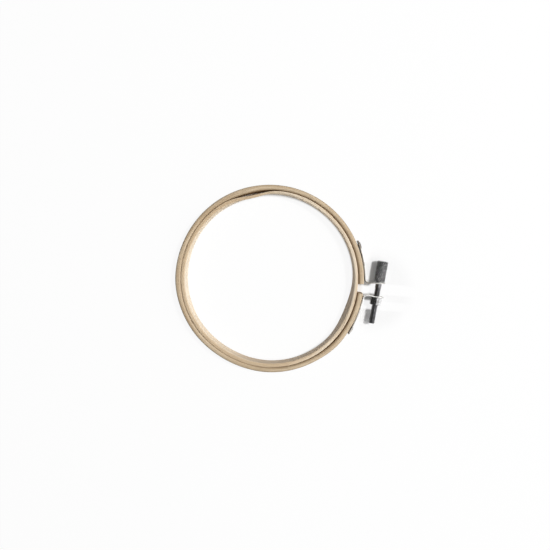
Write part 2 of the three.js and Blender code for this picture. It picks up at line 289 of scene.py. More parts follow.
def inner_lean(angle):
    pressed = hump(angle, INNER_FLAT) + hump(angle, INNER_PRESS)
    return hump(angle, SCARF) - pressed + hump(angle, SEAM_SWELL)


def inner_outside(angle):
    nested = OUTER_RADIUS - OUTER_THICKNESS - HOOP_CLEARANCE
    return nested - hump(angle, BACK_FLAT) - hump(angle, INNER_FLAT) - hump(angle, CLAMP_EASE)


def inner_inside(angle):
    return inner_outside(angle) - INNER_THICKNESS + hump(angle, INNER_THIN)


# Mesh helpers


def make_object(name, points, faces, uvs=None, material_of=None):
    """A mesh object from points in millimetres, faces and one (u, v) pair in mm per face corner."""
    mesh = bpy.data.meshes.new(name)
    mesh.from_pydata((np.asarray(points, float) * MM).tolist(), [], faces)
    if uvs is not None:
        layer = mesh.uv_layers.new(name="UVMap")
        layer.data.foreach_set("uv", (np.asarray(uvs, np.float32) * MM).ravel())
    if material_of is not None:
        mesh.polygons.foreach_set("material_index", material_of)
    mesh.update()
    return add_object(name, mesh)


def add_object(name, data):
    obj = bpy.data.objects.new(name, data)
    bpy.context.scene.collection.objects.link(obj)
    return obj


def shade(obj, degrees):
    """Smooth faces, with a sharp edge wherever two of them meet at more than these degrees."""
    obj.data.polygons.foreach_set("use_smooth", [True] * len(obj.data.polygons))
    obj.data.set_sharp_from_angle(angle=math.radians(degrees))


def apply_modifiers(obj):
    depsgraph = bpy.context.evaluated_depsgraph_get()
    mesh = bpy.data.meshes.new_from_object(obj.evaluated_get(depsgraph))
    obj.modifiers.clear()
    old = obj.data
    obj.data = mesh
    bpy.data.meshes.remove(old)


def cut(obj, cutter):
    """Takes the cutter's space out of obj and removes the cutter."""
    modifier = obj.modifiers.new("cut", "BOOLEAN")
    modifier.operation = "DIFFERENCE"
    modifier.solver = "EXACT"
    modifier.object = cutter
    apply_modifiers(obj)
    mesh = cutter.data
    bpy.data.objects.remove(cutter)
    bpy.data.meshes.remove(mesh)


def ring_grid(rings, columns, closed=False):
    """Quads between successive rings of points; closed joins the last ring to the first one."""
    faces = []
    last = rings if closed else rings - 1
    for ring in range(last):
        here = ring * columns
        there = (ring + 1) % rings * columns
        for column in range(columns):
            nxt = (column + 1) % columns
            faces.append((here + column, here + nxt, there + nxt, there + column))
    return faces


def grid_uvs(rings_u, columns_v, rings, columns, closed=False):
    """The (u, v) of each corner of ring_grid's quads, without a jump where they close."""
    out = []
    last = rings if closed else rings - 1
    for ring in range(last):
        u0, u1 = rings_u[ring], rings_u[ring + 1]
        for column in range(columns):
            v0, v1 = columns_v[column], columns_v[column + 1]
            out += [(u0, v0), (u0, v1), (u1, v1), (u1, v0)]
    return out


def streaks(rng, rings, columns, spacing):
    """Noise that runs along the rings in long streaks, 0 to 1, one value per ring and column."""
    knots = max(4, int(rings / spacing))
    coarse = rng.random((knots + 1, columns))
    at = np.linspace(0, knots, rings)
    low = np.minimum(at.astype(int), knots - 1)
    part = ease((at - low)[:, None])
    return coarse[low] * (1 - part) + coarse[low + 1] * part


# Wooden strips


def section_points(edges):
    """A rounded section as rows of (weight of the outside radius, offset, height, normal r, normal z)."""
    rows = []
    corner_steps, wall_steps, top_steps = SECTION_STEPS
    outer_edge, inner_edge = edges
    outer_high, inner_high = HOOP_HEIGHT - outer_edge, HOOP_HEIGHT - inner_edge

    def corner(weight, sign, level, start):
        edge = outer_edge if weight else inner_edge
        for step in range(corner_steps + 1):
            turn = (start + 0.5 * step / corner_steps) * math.pi
            across, up = math.cos(turn), math.sin(turn)
            rows.append((weight, edge * (across - sign), level + edge * up, across, up))

    def straight(first, second, steps, normal):
        for step in range(1, steps):
            part = step / steps
            mixed = [a * (1 - part) + b * part for a, b in zip(first, second)]
            rows.append((mixed[0], mixed[1], mixed[2], normal[0], normal[1]))

    corner(1, 1, outer_edge, -0.5)
    straight((1, 0, outer_edge), (1, 0, outer_high), wall_steps, (1, 0))
    corner(1, 1, outer_high, 0)
    straight((1, -outer_edge, HOOP_HEIGHT), (0, inner_edge, HOOP_HEIGHT), top_steps, (0, 1))
    corner(0, -1, inner_high, 0.5)
    straight((0, 0, inner_high), (0, 0, inner_edge), wall_steps, (-1, 0))
    corner(0, -1, inner_edge, 1)
    straight((0, inner_edge, 0), (1, -outer_edge, 0), top_steps, (0, -1))
    return np.array(rows)


def build_strip(name, start, end, closed, inside_at, outside_at, lean_at, edges, clamped_edges, seed):
    """A strip bent round the hoop from start to end; one that isn't closed gets two sawn ends."""
    rng = np.random.default_rng(seed)
    section = section_points(edges)
    columns = len(section)
    count = STRIP_RINGS if closed else STRIP_RINGS + 1
    angle = start + (end - start) * np.arange(count) / STRIP_RINGS
    outside, inside = outside_at(angle)[:, None], inside_at(angle)[:, None]
    share = clamped(angle)[:, None, None]
    rows = section * (1 - share) + section_points(clamped_edges) * share
    weight, offset, level, normal_r, normal_z = np.moveaxis(rows, -1, 0)
    radius = inside * (1 - weight) + outside * weight + offset
    radius = radius - lean_at(angle)[:, None] * (1 - level / HOOP_HEIGHT)
    # raised fibres, long shallow tool waves and a slightly uneven top, always cut into the strip
    fibres = FINE_FIBRES[0] * streaks(rng, count, columns, FINE_FIBRES[1])
    fibres = fibres + BROAD_FIBRES[0] * streaks(rng, count, columns, BROAD_FIBRES[1])
    waves = TOOL_WAVES[0] * streaks(rng, count, 1, TOOL_WAVES[1])
    depth = fibres + waves * np.abs(normal_z)
    if closed:
        blend = np.clip(np.arange(count) / (JOIN_SHARE * count), 0, 1)[:, None]
        blend = np.minimum(blend, blend[::-1])
        depth = depth * blend + JOIN_DEPTH * (1 - blend)
    radius = radius - depth * normal_r
    height = level - depth * normal_z
    x = radius * np.cos(angle)[:, None] + HOOP_X
    y = radius * np.sin(angle)[:, None]
    points = np.stack([x, y, height], -1).reshape(-1, 3)
    mean = (outside + inside).mean() / 2
    rings_u = mean * (end - start) * np.arange(STRIP_RINGS + 1) / STRIP_RINGS
    flat = np.stack([section[:, 0] * (outside - inside).mean() + section[:, 1], section[:, 2]], -1)
    steps = np.linalg.norm(np.roll(flat, -1, 0) - flat, axis=1)
    columns_v = np.concatenate([[0], np.cumsum(steps)])
    faces = [tuple(reversed(face)) for face in ring_grid(count, columns, closed)]
    uvs = []
    quads = grid_uvs(rings_u, columns_v, count, columns, closed)
    for k in range(0, len(quads), 4):
        uvs += quads[k : k + 4][::-1]
    kinds = [0] * len(faces)
    if not closed:
        # flat sawn ends, each with one face
        for ring, order in ((0, range(columns)), (STRIP_RINGS, range(columns - 1, -1, -1))):
            faces.append(tuple(ring * columns + k for k in order))
            uvs += [(float(radius[ring, k]), float(height[ring, k])) for k in order]
            kinds.append(1)
    return make_object(name, points, faces, uvs, kinds)


# Rivets and their holes


def clamp_frame(side):
    """From the hoop's middle to the part's frame, turned over for the lower side, which is -1."""
    flip = Matrix.Rotation(0 if side > 0 else math.pi, 4, "X")
    return Matrix.Translation((HOOP_X * MM, 0, HALF * MM)) @ flip


def rivet_frame(angle, side):
    """The matrix from a rivet's own frame, +Y along it from the plate's centre of curvature."""
    turn = Matrix.Rotation(angle - math.pi / 2, 4, "Z")
    return clamp_frame(side) @ Matrix.Translation((CURVE_X * MM, CURVE_Y * MM, 0)) @ turn


def along_rivet(angle, radius):
    """How far a circle round the hoop lies along a rivet, from the plate's centre of curvature."""
    across = CURVE_X * math.cos(angle) + CURVE_Y * math.sin(angle)
    return math.sqrt(across**2 - CURVE_OFFSET**2 + radius**2) - across


def wood_inside(angle, side):
    x = CURVE_X + PLATE_CURVE * math.cos(angle)
    y = CURVE_Y + PLATE_CURVE * math.sin(angle)
    return along_rivet(angle, float(outer_inside(np.array(side * math.atan2(y, x)))))


def turned(name, outline, columns):
    """A turned piece along +Y from an outline of (radius, y) points whose ends lie on the axis."""
    points, rings, faces = [], [], []
    for radius, y in outline:
        if radius < 1e-9:
            rings.append([len(points)])
            points.append((0, y, 0))
        else:
            rings.append([len(points) + k for k in range(columns)])
            for k in range(columns):
                turn = 2 * math.pi * k / columns
                points.append((radius * math.sin(turn), y, radius * math.cos(turn)))
    for low, high in zip(rings, rings[1:]):
        for k in range(columns):
            n = (k + 1) % columns
            if len(low) == 1 and len(high) > 1:
                faces.append((low[0], high[k], high[n])[::-1])
            elif len(high) == 1 and len(low) > 1:
                faces.append((low[k], low[n], high[0]))
            elif len(low) > 1:
                faces.append((low[k], low[n], high[n], high[k]))
    uvs = []
    for face in faces:
        for index in face:
            x, y, z = points[index]
            uvs.append((math.atan2(x, z) * max(math.hypot(x, z), 0.2), y + math.hypot(x, z)))
    return make_object(name, points, faces, uvs)


def rivet_cutter(angle, side):
    wood = wood_inside(angle, side)
    inside = wood - 1
    step = wood + TAIL_RECESS + TAIL_THICKNESS + SEAT_GAP
    bore, recess = RIVET_RADIUS + RIVET_CLEARANCE, TAIL_RADIUS + RIVET_CLEARANCE
    outline = [(0, inside), (recess, inside), (recess, step), (bore, step)]
    outline += [(bore, PLATE_CURVE), (0, PLATE_CURVE)]
    cutter = turned("cutter", outline, CUTTER_COLUMNS)
    cutter.data.transform(rivet_frame(angle, side))
    return cutter


def build_rivet(name, angle, side, head):
    tail = wood_inside(angle, side) + TAIL_RECESS
    top = tail + TAIL_THICKNESS
    seat = PLATE_CURVE + SHEET / 2 + SEAT_GAP
    radius, rise = head
    # from the tail's slightly hollow end to the head's top, with each edge eased
    outline = [(0, tail + RIVET_EASE), (0.5, tail + 0.03)]
    outline += [(TAIL_RADIUS - 0.3, tail), (TAIL_RADIUS - 0.1, tail + RIVET_EASE)]
    outline += [(TAIL_RADIUS, tail + 0.16), (TAIL_RADIUS - 0.04, top - 0.08), (TAIL_RADIUS - 0.15, top)]
    outline += [(RIVET_RADIUS + RIVET_EASE, top), (RIVET_RADIUS, top + RIVET_EASE)]
    outline += [(RIVET_RADIUS, seat - 0.04), (RIVET_RADIUS + 0.04, seat)]
    outline += [(radius - 0.06, seat), (radius, seat + RIVET_EASE)]
    for step in range(1, DOME_STEPS + 1):
        turn = 0.5 * math.pi * step / DOME_STEPS
        flat = 1 - DOME_FLAT * math.sin(turn) ** 8
        across = 0 if step == DOME_STEPS else radius * math.cos(turn) ** DOME_FULLNESS
        outline.append((across, seat + RIVET_EASE + (rise - RIVET_EASE) * math.sin(turn) * flat))
    obj = turned(name, outline, RIVET_COLUMNS)
    obj.data.transform(rivet_frame(angle, side))
    shade(obj, RIVET_SHARP)
    return obj


# Materials


class Nodes:
    """A short way to write a node tree."""

    def __init__(self, tree):
        self.tree = tree

    def link(self, source, target):
        self.tree.links.new(source, target)

    def set(self, socket, value):
        if isinstance(value, bpy.types.NodeSocket):
            self.link(value, socket)
        else:
            socket.default_value = value

    def fill(self, node, inputs):
        for name, value in inputs.items():
            self.set(node.inputs[name.replace("_", " ")], value)

    def add(self, kind, **inputs):
        """A new node; each input is a value or another node's output."""
        node = self.tree.nodes.new("ShaderNode" + kind)
        self.fill(node, inputs)
        return node

    def place(self, source):
        return self.add("TexCoord").outputs[source]

    def split(self, source):
        """The x, y and z of a place."""
        return self.add("SeparateXYZ", Vector=self.place(source)).outputs

    def coords(self, scale, source="UV", rotation=(0, 0, 0), offset=(0, 0, 0)):
        node = self.add("Mapping", Location=offset, Rotation=rotation, Scale=scale)
        self.link(self.place(source), node.inputs["Vector"])
        return node.outputs[0]

    def noise(self, vector, detail, roughness):
        node = self.add("TexNoise", Vector=vector, Scale=1.0, Detail=detail, Roughness=roughness)
        return node.outputs["Fac"]

    def ramp(self, value, low, high, to_low=0.0, to_high=1.0):
        node = self.add("MapRange", From_Min=low, From_Max=high, To_Min=to_low, To_Max=to_high)
        node.interpolation_type = "SMOOTHSTEP"
        self.link(value, node.inputs["Value"])
        return node.outputs["Result"]

    def fade(self, value, borders, to_low=0.0, to_high=1.0):
        """A ramp between two borders given in mm."""
        return self.ramp(value, borders[0] * MM, borders[1] * MM, to_low, to_high)

    def window(self, value, first, last, fade, amount=1.0):
        """amount between first and last, given in mm, and 0 outside, with soft borders."""
        rise = self.fade(value, (first - fade, first + fade), 0, amount)
        return self.math("MULTIPLY", rise, self.fade(value, (last - fade, last + fade), 1, 0))

    def math(self, operation, first, second=0.0):
        node = self.add("Math")
        node.operation = operation
        self.set(node.inputs[0], first)
        self.set(node.inputs[1], second)
        return node.outputs[0]

    def mix(self, factor, first, second):
        node = self.add("Mix")
        node.data_type = "RGBA"
        self.set(node.inputs["Factor"], factor)
        self.set(node.inputs[6], first)
        self.set(node.inputs[7], second)
        return node.outputs[2]


class Surface(Nodes):
    """The node tree of a new material with one principled shader."""

    def __init__(self, name):
        self.material = bpy.data.materials.new(name)
        self.material.use_nodes = True
        super().__init__(self.material.node_tree)
        self.tree.nodes.clear()
        self.output = self.add("OutputMaterial")
        self.shader = self.add("BsdfPrincipled")
        self.link(self.shader.outputs[0], self.output.inputs[0])

    def surface(self, **inputs):
        self.fill(self.shader, inputs)

    def bump(self, height, distance, strength):
        """Relief from a height, over a distance given in mm."""
        node = self.add("Bump", Height=height, Distance=distance * MM, Strength=strength)
        self.link(node.outputs[0], self.shader.inputs["Normal"])


def srgb(red, green, blue):
    def linear(value):
        value /= 255
        return value / 12.92 if value <= 0.04045 else ((value + 0.055) / 1.055) ** 2.4

    return (linear(red), linear(green), linear(blue), 1.0)


def bamboo(name, pale, tan, brown, seed, glossy, painted_light_and_shade, scarf=None):
    """Bamboo along U: long fibres, pale and tan bands, dark vessel lines and cross sanding marks.

    Each band in painted_light_and_shade is painted light or painted shade, given as (u window, v
    window, fade along v, colour, amount); a u window of None is the whole strip. Only the v window
    called glossy has a sheen. scarf is the first u and v of the glue line and its last u and v.
    Windows, fades and the scarf are in mm.
    """
    n = Surface(name)
    along, across = n.split("UV")[:2]
    broad = n.noise(n.coords((22, 420, 1), offset=(seed, 0, 0)), 3, 0.5)
    bands = n.noise(n.coords((45, 1500, 1), offset=(seed * 2, 1, 0)), 3, 0.6)
    fibre = n.noise(n.coords((110, 5200, 1), offset=(seed * 3, 2, 0)), 4, 0.6)
    vessel = n.noise(n.coords((160, 6400, 1), offset=(seed * 5, 3, 0)), 2, 0.5)
    sanding = n.noise(n.coords((1500, 260, 1), rotation=(0, 0, 0.6), offset=(seed * 7, 4, 0)), 3, 0.6)
    grime = n.noise(n.coords((300, 300, 1), offset=(seed * 9, 5, 0)), 5, 0.6)
    color = n.mix(n.ramp(broad, 0.36, 0.64), pale, tan)
    # each band is painted light or painted shade, mixed into the wood's own colour
    for u_window, v_window, fade, painted_tone, amount in painted_light_and_shade:
        share = n.window(across, v_window[0], v_window[1], fade, amount)
        if u_window:
            share = n.math("MULTIPLY", share, n.window(along, u_window[0], u_window[1], PAINT_FADE))
        color = n.mix(share, color, painted_tone)
    color = n.mix(n.ramp(bands, 0.5, 0.72, 0, 0.5), color, brown)
    color = n.mix(n.ramp(fibre, 0.42, 0.6, 0.22, 0), color, brown)
    color = n.mix(n.ramp(vessel, 0.62, 0.72, 0, 0.55), color, srgb(110, 78, 46))
    color = n.mix(n.ramp(sanding, 0.5, 0.68, 0, 0.12), color, srgb(240, 224, 198))
    color = n.mix(n.ramp(grime, 0.58, 0.75, 0, 0.18), color, srgb(120, 96, 70))
    height = n.math("MULTIPLY", fibre, 0.8)
    height = n.math("ADD", height, n.math("MULTIPLY", bands, 0.5))
    height = n.math("SUBTRACT", height, n.ramp(vessel, 0.6, 0.72, 0, 0.6))
    height = n.math("ADD", height, n.math("MULTIPLY", sanding, 0.35))
    if scarf:
        # the glue line of the scarf joint: a thin line that crosses the strip's edge on the slant
        u_first, v_first, u_last, v_last = [value * MM for value in scarf]
        slope = (v_last - v_first) / (u_last - u_first)
        line = n.math("ADD", n.math("MULTIPLY", n.math("SUBTRACT", along, u_first), slope), v_first)
        away = n.math("ABSOLUTE", n.math("SUBTRACT", across, line))
        near = n.fade(away, GLUE_BORDERS, 1, 0)
        past_first = n.math("GREATER_THAN", along, u_first)
        before_last = n.math("LESS_THAN", along, u_last)
        glue = n.math("MULTIPLY", near, n.math("MULTIPLY", past_first, before_last))
        color = n.mix(n.math("MULTIPLY", glue, 0.7), color, srgb(96, 66, 38))
        height = n.math("SUBTRACT", height, n.math("MULTIPLY", glue, 1.2))
    n.surface(Base_Color=color, Roughness=n.ramp(fibre, 0.35, 0.65, 0.5, 0.72))
    n.surface(Specular_IOR_Level=n.window(across, glossy[0], glossy[1], 0.4, 0.25))
    n.bump(height, 0.06, 0.8)
    return n.material


def end_grain(name, pale, brown):
    """A sawn end of bamboo: dark vessel dots and saw marks."""
    n = Surface(name)
    dots = n.add("TexVoronoi", Vector=n.coords((3300, 2600, 1)), Scale=1.0).outputs["Distance"]
    saw = n.noise(n.coords((600, 5000, 1), rotation=(0, 0, 0.3)), 3, 0.6)
    tone = n.noise(n.coords((500, 300, 1)), 2, 0.5)
    color = n.mix(n.ramp(tone, 0.35, 0.65), pale, brown)
    color = n.mix(n.ramp(dots, 0.12, 0.3, 0.75, 0), color, srgb(104, 68, 38))
    color = n.mix(n.ramp(saw, 0.5, 0.7, 0, 0.25), color, srgb(150, 112, 74))
    n.surface(Base_Color=color, Roughness=n.ramp(saw, 0.3, 0.7, 0.6, 0.8))
    n.bump(n.math("SUBTRACT", saw, n.ramp(dots, 0.1, 0.3, 0.6, 0)), 0.05, 0.8)
    return n.material


def plated(name, bright, dull, rough, brush, wear, rubbed_glint_and_groove_shade=None):
    """Plated steel: brushed along U, cloudy tarnish, fine scratches and darker specks.

    rubbed_glint_and_groove_shade holds the colour of the knurl's crests, rubbed bright and with
    painted glints, and that of the grooves between them, a painted shade.
    """
    n = Surface(name)
    lines = n.noise(n.coords((brush[0], brush[1], 1)), 3, 0.6)
    cloud = n.noise(n.coords((420, 420, 420), source="Object"), 4, 0.6)
    speck = n.noise(n.coords((2600, 2600, 2600), source="Object"), 2, 0.6)
    scratch = n.noise(n.coords((300, 7000, 1), rotation=(0, 0, 0.7)), 2, 0.5)
    color = n.mix(n.ramp(cloud, 0.35, 0.68), bright, dull)
    color = n.mix(n.ramp(speck, 0.6, 0.75, 0, wear), color, srgb(70, 62, 54))
    tarnish = n.ramp(cloud, 0.3, 0.7, rough[0], rough[1])
    roughness = n.math("ADD", tarnish, n.ramp(scratch, 0.6, 0.72, 0, 0.15))
    if rubbed_glint_and_groove_shade:
        attribute = n.add("Attribute")
        attribute.attribute_name = "groove"
        groove = attribute.outputs["Fac"]
        # painted glints on the knurl's crests, which are also rubbed bright, and painted shade in its grooves
        rubbed_crest_glint = n.ramp(groove, 0.0, 0.2, 0.95, 0)
        groove_shade = n.ramp(groove, 0.15, 0.55, 0, 0.95)
        color = n.mix(rubbed_crest_glint, color, rubbed_glint_and_groove_shade[0])
        color = n.mix(groove_shade, color, rubbed_glint_and_groove_shade[1])
        # rubbed patches on the flanks in the crests' colour: wear and painted glints
        rubbed = n.noise(n.coords((1100, 700, 1100), source="Object"), 2, 0.7)
        flanks = n.ramp(groove, 0.35, 0.85, 0.85, 0)
        color = n.mix(n.math("MULTIPLY", n.ramp(rubbed, 0.54, 0.62), flanks), color, rubbed_glint_and_groove_shade[0])
        roughness = n.math("SUBTRACT", roughness, n.math("MULTIPLY", rubbed_crest_glint, 0.1))
    n.surface(Base_Color=color, Metallic=1.0, Roughness=roughness)
    height = n.math("ADD", n.math("MULTIPLY", lines, 0.5), n.ramp(scratch, 0.58, 0.7, 0, -0.6))
    n.bump(n.math("SUBTRACT", height, n.ramp(speck, 0.6, 0.75, 0, 0.4)), 0.01, 0.6)
    return n.material


def sheared_edge(name, plate, lug, change):
    """The sheet's cut edge, with one colour along the plate and a brighter one past the length change:
    painted shade or painted light along the plate, and painted light on the lug.
    """
    n = Surface(name)
    on_lug = n.fade(n.split("UV")[0], (change - 1.5, change + 1.5))
    shear = n.noise(n.coords((2500, 2500, 500), source="Object"), 3, 0.6)
    color = n.mix(on_lug, plate, lug)
    color = n.mix(n.ramp(shear, 0.4, 0.65, 0, 0.4), color, srgb(96, 90, 84))
    n.surface(Base_Color=color, Metallic=1.0, Roughness=n.ramp(shear, 0.3, 0.7, 0.34, 0.6))
    n.bump(shear, 0.03, 0.7)
    return n.material


def paper(name):
    """The floor: matt white that keeps the shadows, shown nearly plain white away from the clamp, with
    painted light over the shadows between the lugs and below the nut.
    """
    n = Surface(name)
    grain = n.noise(n.coords((900, 900, 900), source="Object"), 3, 0.5)
    tone = n.mix(n.ramp(grain, 0.3, 0.7), (0.95, 0.95, 0.95, 1), (0.965, 0.965, 0.965, 1))
    n.surface(Base_Color=tone, Roughness=0.95, Specular_IOR_Level=0.0)

    def distance(x, y):
        node = n.add("VectorMath")
        node.operation = "DISTANCE"
        n.link(n.place("Object"), node.inputs[0])
        node.inputs[1].default_value = (x * MM, y * MM, 0)
        return node.outputs["Value"]

    def from_screw(place):
        return distance(SCREW_X + HOOP_X + place[0], place[1])

    north = n.split("Object")[1]
    from_centre = distance(HOOP_X, 0)
    clamp_share = n.fade(from_screw(CLAMP_SHADE_PLACE), CLAMP_SHADE, 0.02, 1)
    under_lug = n.fade(from_screw(LUG_SHADE_PLACE), LUG_SHADE, 0.1, 1)
    # painted light: the floor is shown white over the shadows between the lugs, except in the lug's shade,
    # and below the nut
    painted_light_between_lugs = n.math("MULTIPLY", n.window(north, *PAINTED_LIGHT_LUGS), under_lug)
    painted_light_gaps = n.math("MAXIMUM", painted_light_between_lugs, n.window(north, *PAINTED_LIGHT_NUT))
    clamp_share = n.math("MAXIMUM", clamp_share, painted_light_gaps)
    outside = n.math("MULTIPLY", n.fade(from_centre, WHITE_OUTSIDE), clamp_share)
    white_share = n.math("ADD", n.fade(from_centre, WHITE_INSIDE, 1, 0), outside)
    white_share = n.math("MULTIPLY", white_share, FLOOR_WHITE)
    path = n.add("LightPath").outputs
    seen = n.math("MAXIMUM", path["Is Camera Ray"], path["Is Glossy Ray"])
    seen = n.math("MAXIMUM", seen, path["Is Transmission Ray"])
    white = n.add("Emission", Color=(1, 1, 1, 1), Strength=1.0)
    mixer = n.add("MixShader")
    n.link(n.math("MULTIPLY", seen, white_share), mixer.inputs[0])
    n.link(n.shader.outputs[0], mixer.inputs[1])
    n.link(white.outputs[0], mixer.inputs[2])
    n.link(mixer.outputs[0], n.output.inputs[0])
    return n.material


# Brackets


def bracket_path():
    """The sheet's middle line seen from above, from the plate's end to the lug's tip.

    Returns the lengths of the plate, the bend and the lug, and the function at.
    """
    along = Vector((math.cos(SPLAY), math.sin(SPLAY)))
    across = Vector((-along.y, along.x))
    lug_place = Vector((SCREW_X, LUG_MIDDLE))
    centre = Vector((CURVE_X, CURVE_Y))
    offset = lug_place + across * BEND_RADIUS - centre
    side = offset.dot(across)
    reach = math.sqrt((PLATE_CURVE + BEND_RADIUS) ** 2 - side**2)
    bend = centre + along * reach + across * side
    bend_angle = math.atan2(bend.y - CURVE_Y, bend.x - CURVE_X)
    start, end = bend_angle + math.pi, SPLAY + 1.5 * math.pi
    lug_start = bend - across * BEND_RADIUS
    tip = lug_place + along * LUG_OVERHANG
    plate_length = PLATE_CURVE * (PLATE_END - bend_angle)
    bend_length = BEND_RADIUS * (end - start)
    lug_length = (tip - lug_start).length

    def at(s):
        """(point, normal) at a length s; the normal points away from the wood and the split."""
        if s <= plate_length:
            angle = PLATE_END - s / PLATE_CURVE
            normal = Vector((math.cos(angle), math.sin(angle)))
            return centre + normal * PLATE_CURVE, normal
        if s <= plate_length + bend_length:
            angle = start + (s - plate_length) / BEND_RADIUS
            normal = Vector((math.cos(angle), math.sin(angle)))
            return bend + normal * BEND_RADIUS, -normal
        return lug_start + along * (s - plate_length - bend_length), across

    return plate_length, bend_length, lug_length, at


def circle(place, radius):
    turns = [2 * math.pi * k / HOLE_STEPS for k in range(HOLE_STEPS)]
    return [(place + radius * math.cos(turn), radius * math.sin(turn)) for turn in turns]


def bracket_loops(side, total):
    """The flat sheet's outline and holes, as points of (length along the sheet, height)."""
    half = BRACKET_HEIGHT / 2
    outline = []
    for centre_s, centre_z, radius, first in (
        (PLATE_CORNER, half - PLATE_CORNER, PLATE_CORNER, 90),
        (PLATE_CORNER, PLATE_CORNER - half, PLATE_CORNER, 180),
        (total - LUG_CORNER, LUG_CORNER - half, LUG_CORNER, 270),
        (total - LUG_CORNER, half - LUG_CORNER, LUG_CORNER, 0),
    ):
        for step in range(CORNER_STEPS + 1):
            turn = math.radians(first + 90 * step / CORNER_STEPS)
            outline.append((centre_s + radius * math.cos(turn), centre_z + radius * math.sin(turn)))
    loops = [outline, circle(total - LUG_OVERHANG + along_lug(side), SCREW_RADIUS + LUG_CLEARANCE)]
    for angle in (NEAR_RIVET, FAR_RIVET):
        loops.append(circle(PLATE_CURVE * (PLATE_END - angle), RIVET_RADIUS + RIVET_CLEARANCE))
    return loops


def bisect(bm, place, normal):
    geom = bm.verts[:] + bm.edges[:] + bm.faces[:]
    bmesh.ops.bisect_plane(bm, geom=geom, plane_co=place, plane_no=normal, dist=1e-5)


def flat_sheet(loops, cuts):
    """The filled loops, cut across at each of these lengths so that the sheet can bend."""
    bm = bmesh.new()
    for loop in loops:
        verts = [bm.verts.new((s, z, 0)) for s, z in loop]
        for k, vert in enumerate(verts):
            bm.edges.new((vert, verts[(k + 1) % len(verts)]))
    bmesh.ops.triangle_fill(bm, use_beauty=True, edges=bm.edges[:])
    for s in cuts:
        bisect(bm, (s, 0, 0), (1, 0, 0))
    for z in SHEET_ROWS:
        bisect(bm, (0, z, 0), (0, 1, 0))
    layer = bm.loops.layers.uv.new("UVMap")
    for face in bm.faces:
        for loop in face.loops:
            loop[layer].uv = (loop.vert.co.x * MM, loop.vert.co.y * MM)
    return bm


def build_bracket(name, side, materials):
    plate_length, bend_length, lug_length, at = bracket_path()
    lug_begin = plate_length + bend_length
    total = lug_begin + lug_length
    cuts = list(np.arange(SHEET_CUT, plate_length, SHEET_CUT)) + [plate_length, lug_begin]
    cuts += [plate_length + bend_length * k / BEND_STEPS for k in range(1, BEND_STEPS)]
    cuts += list(np.arange(lug_begin + SHEET_CUT, total, SHEET_CUT))
    bm = flat_sheet(bracket_loops(side, total), cuts)
    for vert in bm.verts:
        s, z = vert.co.x, vert.co.y
        point = at(s)[0]
        vert.co = Vector((point.x, point.y, z)) * MM
    bmesh.ops.recalc_face_normals(bm, faces=bm.faces[:])
    # the sheet is turned so that its faces look away from the wood
    middle, outward = at(plate_length / 2)
    probe_place = Vector((middle.x, middle.y, 1.5)) * MM
    probe = min(bm.faces, key=lambda face: (face.calc_center_median() - probe_place).length)
    if probe.normal.dot(Vector((outward.x, outward.y, 0))) < 0:
        bmesh.ops.reverse_faces(bm, faces=bm.faces[:])
    mesh = bpy.data.meshes.new(name)
    bm.to_mesh(mesh)
    bm.free()
    for material in materials:
        mesh.materials.append(material)
    obj = add_object(name, mesh)
    solid = obj.modifiers.new("sheet", "SOLIDIFY")
    solid.thickness = SHEET * MM
    solid.offset = 0.0
    solid.use_even_offset = False
    solid.use_rim = True
    solid.material_offset_rim = 1
    soft = obj.modifiers.new("edges", "BEVEL")
    soft.width = SHEET_BEVEL * MM
    soft.segments = BEVEL_STEPS
    soft.limit_method = "ANGLE"
    soft.angle_limit = math.radians(BEVEL_ANGLE)
    soft.use_clamp_overlap = True
    apply_modifiers(obj)
    obj.data.transform(clamp_frame(side))
    shade(obj, SHEET_SHARP)
    return obj


# Screw and nut


def triangle_wave(x):
    return np.abs(2 * (x - np.floor(x)) - 1)


def cut_off(wave, shares):
    return np.clip((wave - shares[0]) / shares[1], 0, 1)


def ring_points(y, radius):
    """Points of rings round the Y axis, with radius[ring, column] at height y[ring]."""
    turn = 2 * np.pi * np.arange(radius.shape[1]) / radius.shape[1]
    heights = np.broadcast_to(y[:, None], radius.shape)
    points = np.stack([radius * np.sin(turn), heights, radius * np.cos(turn)], -1)
    return points.reshape(-1, 3).tolist()


def ring_travel(y, radius):
    """How far each ring is from the first one along the surface."""
    return np.concatenate([[0], np.cumsum(np.hypot(np.diff(y), np.diff(radius.mean(1))))])


def closed_rings(y, radius):
    """Points, faces and (u, v) pairs of a body made of rings and capped at both ends."""
    rings, columns = radius.shape
    points = ring_points(y, radius)
    faces = ring_grid(rings, columns)
    travel = ring_travel(y, radius)
    v = radius.max() * 2 * np.pi * np.arange(columns + 1) / columns
    uvs = grid_uvs(travel, v, rings, columns)
    first, last = len(points), len(points) + 1
    points.append((0, float(y[0]), 0))
    points.append((0, float(y[-1]), 0))
    top = (rings - 1) * columns
    for k in range(columns):
        n = (k + 1) % columns
        faces.append((first, n, k))
        uvs += [(0, v[k]), (0.5, v[k + 1]), (0.5, v[k])]
        faces.append((last, top + k, top + n))
        uvs += [(travel[-1] + 0.5, v[k]), (travel[-1], v[k]), (travel[-1], v[k + 1])]
    return points, faces, uvs


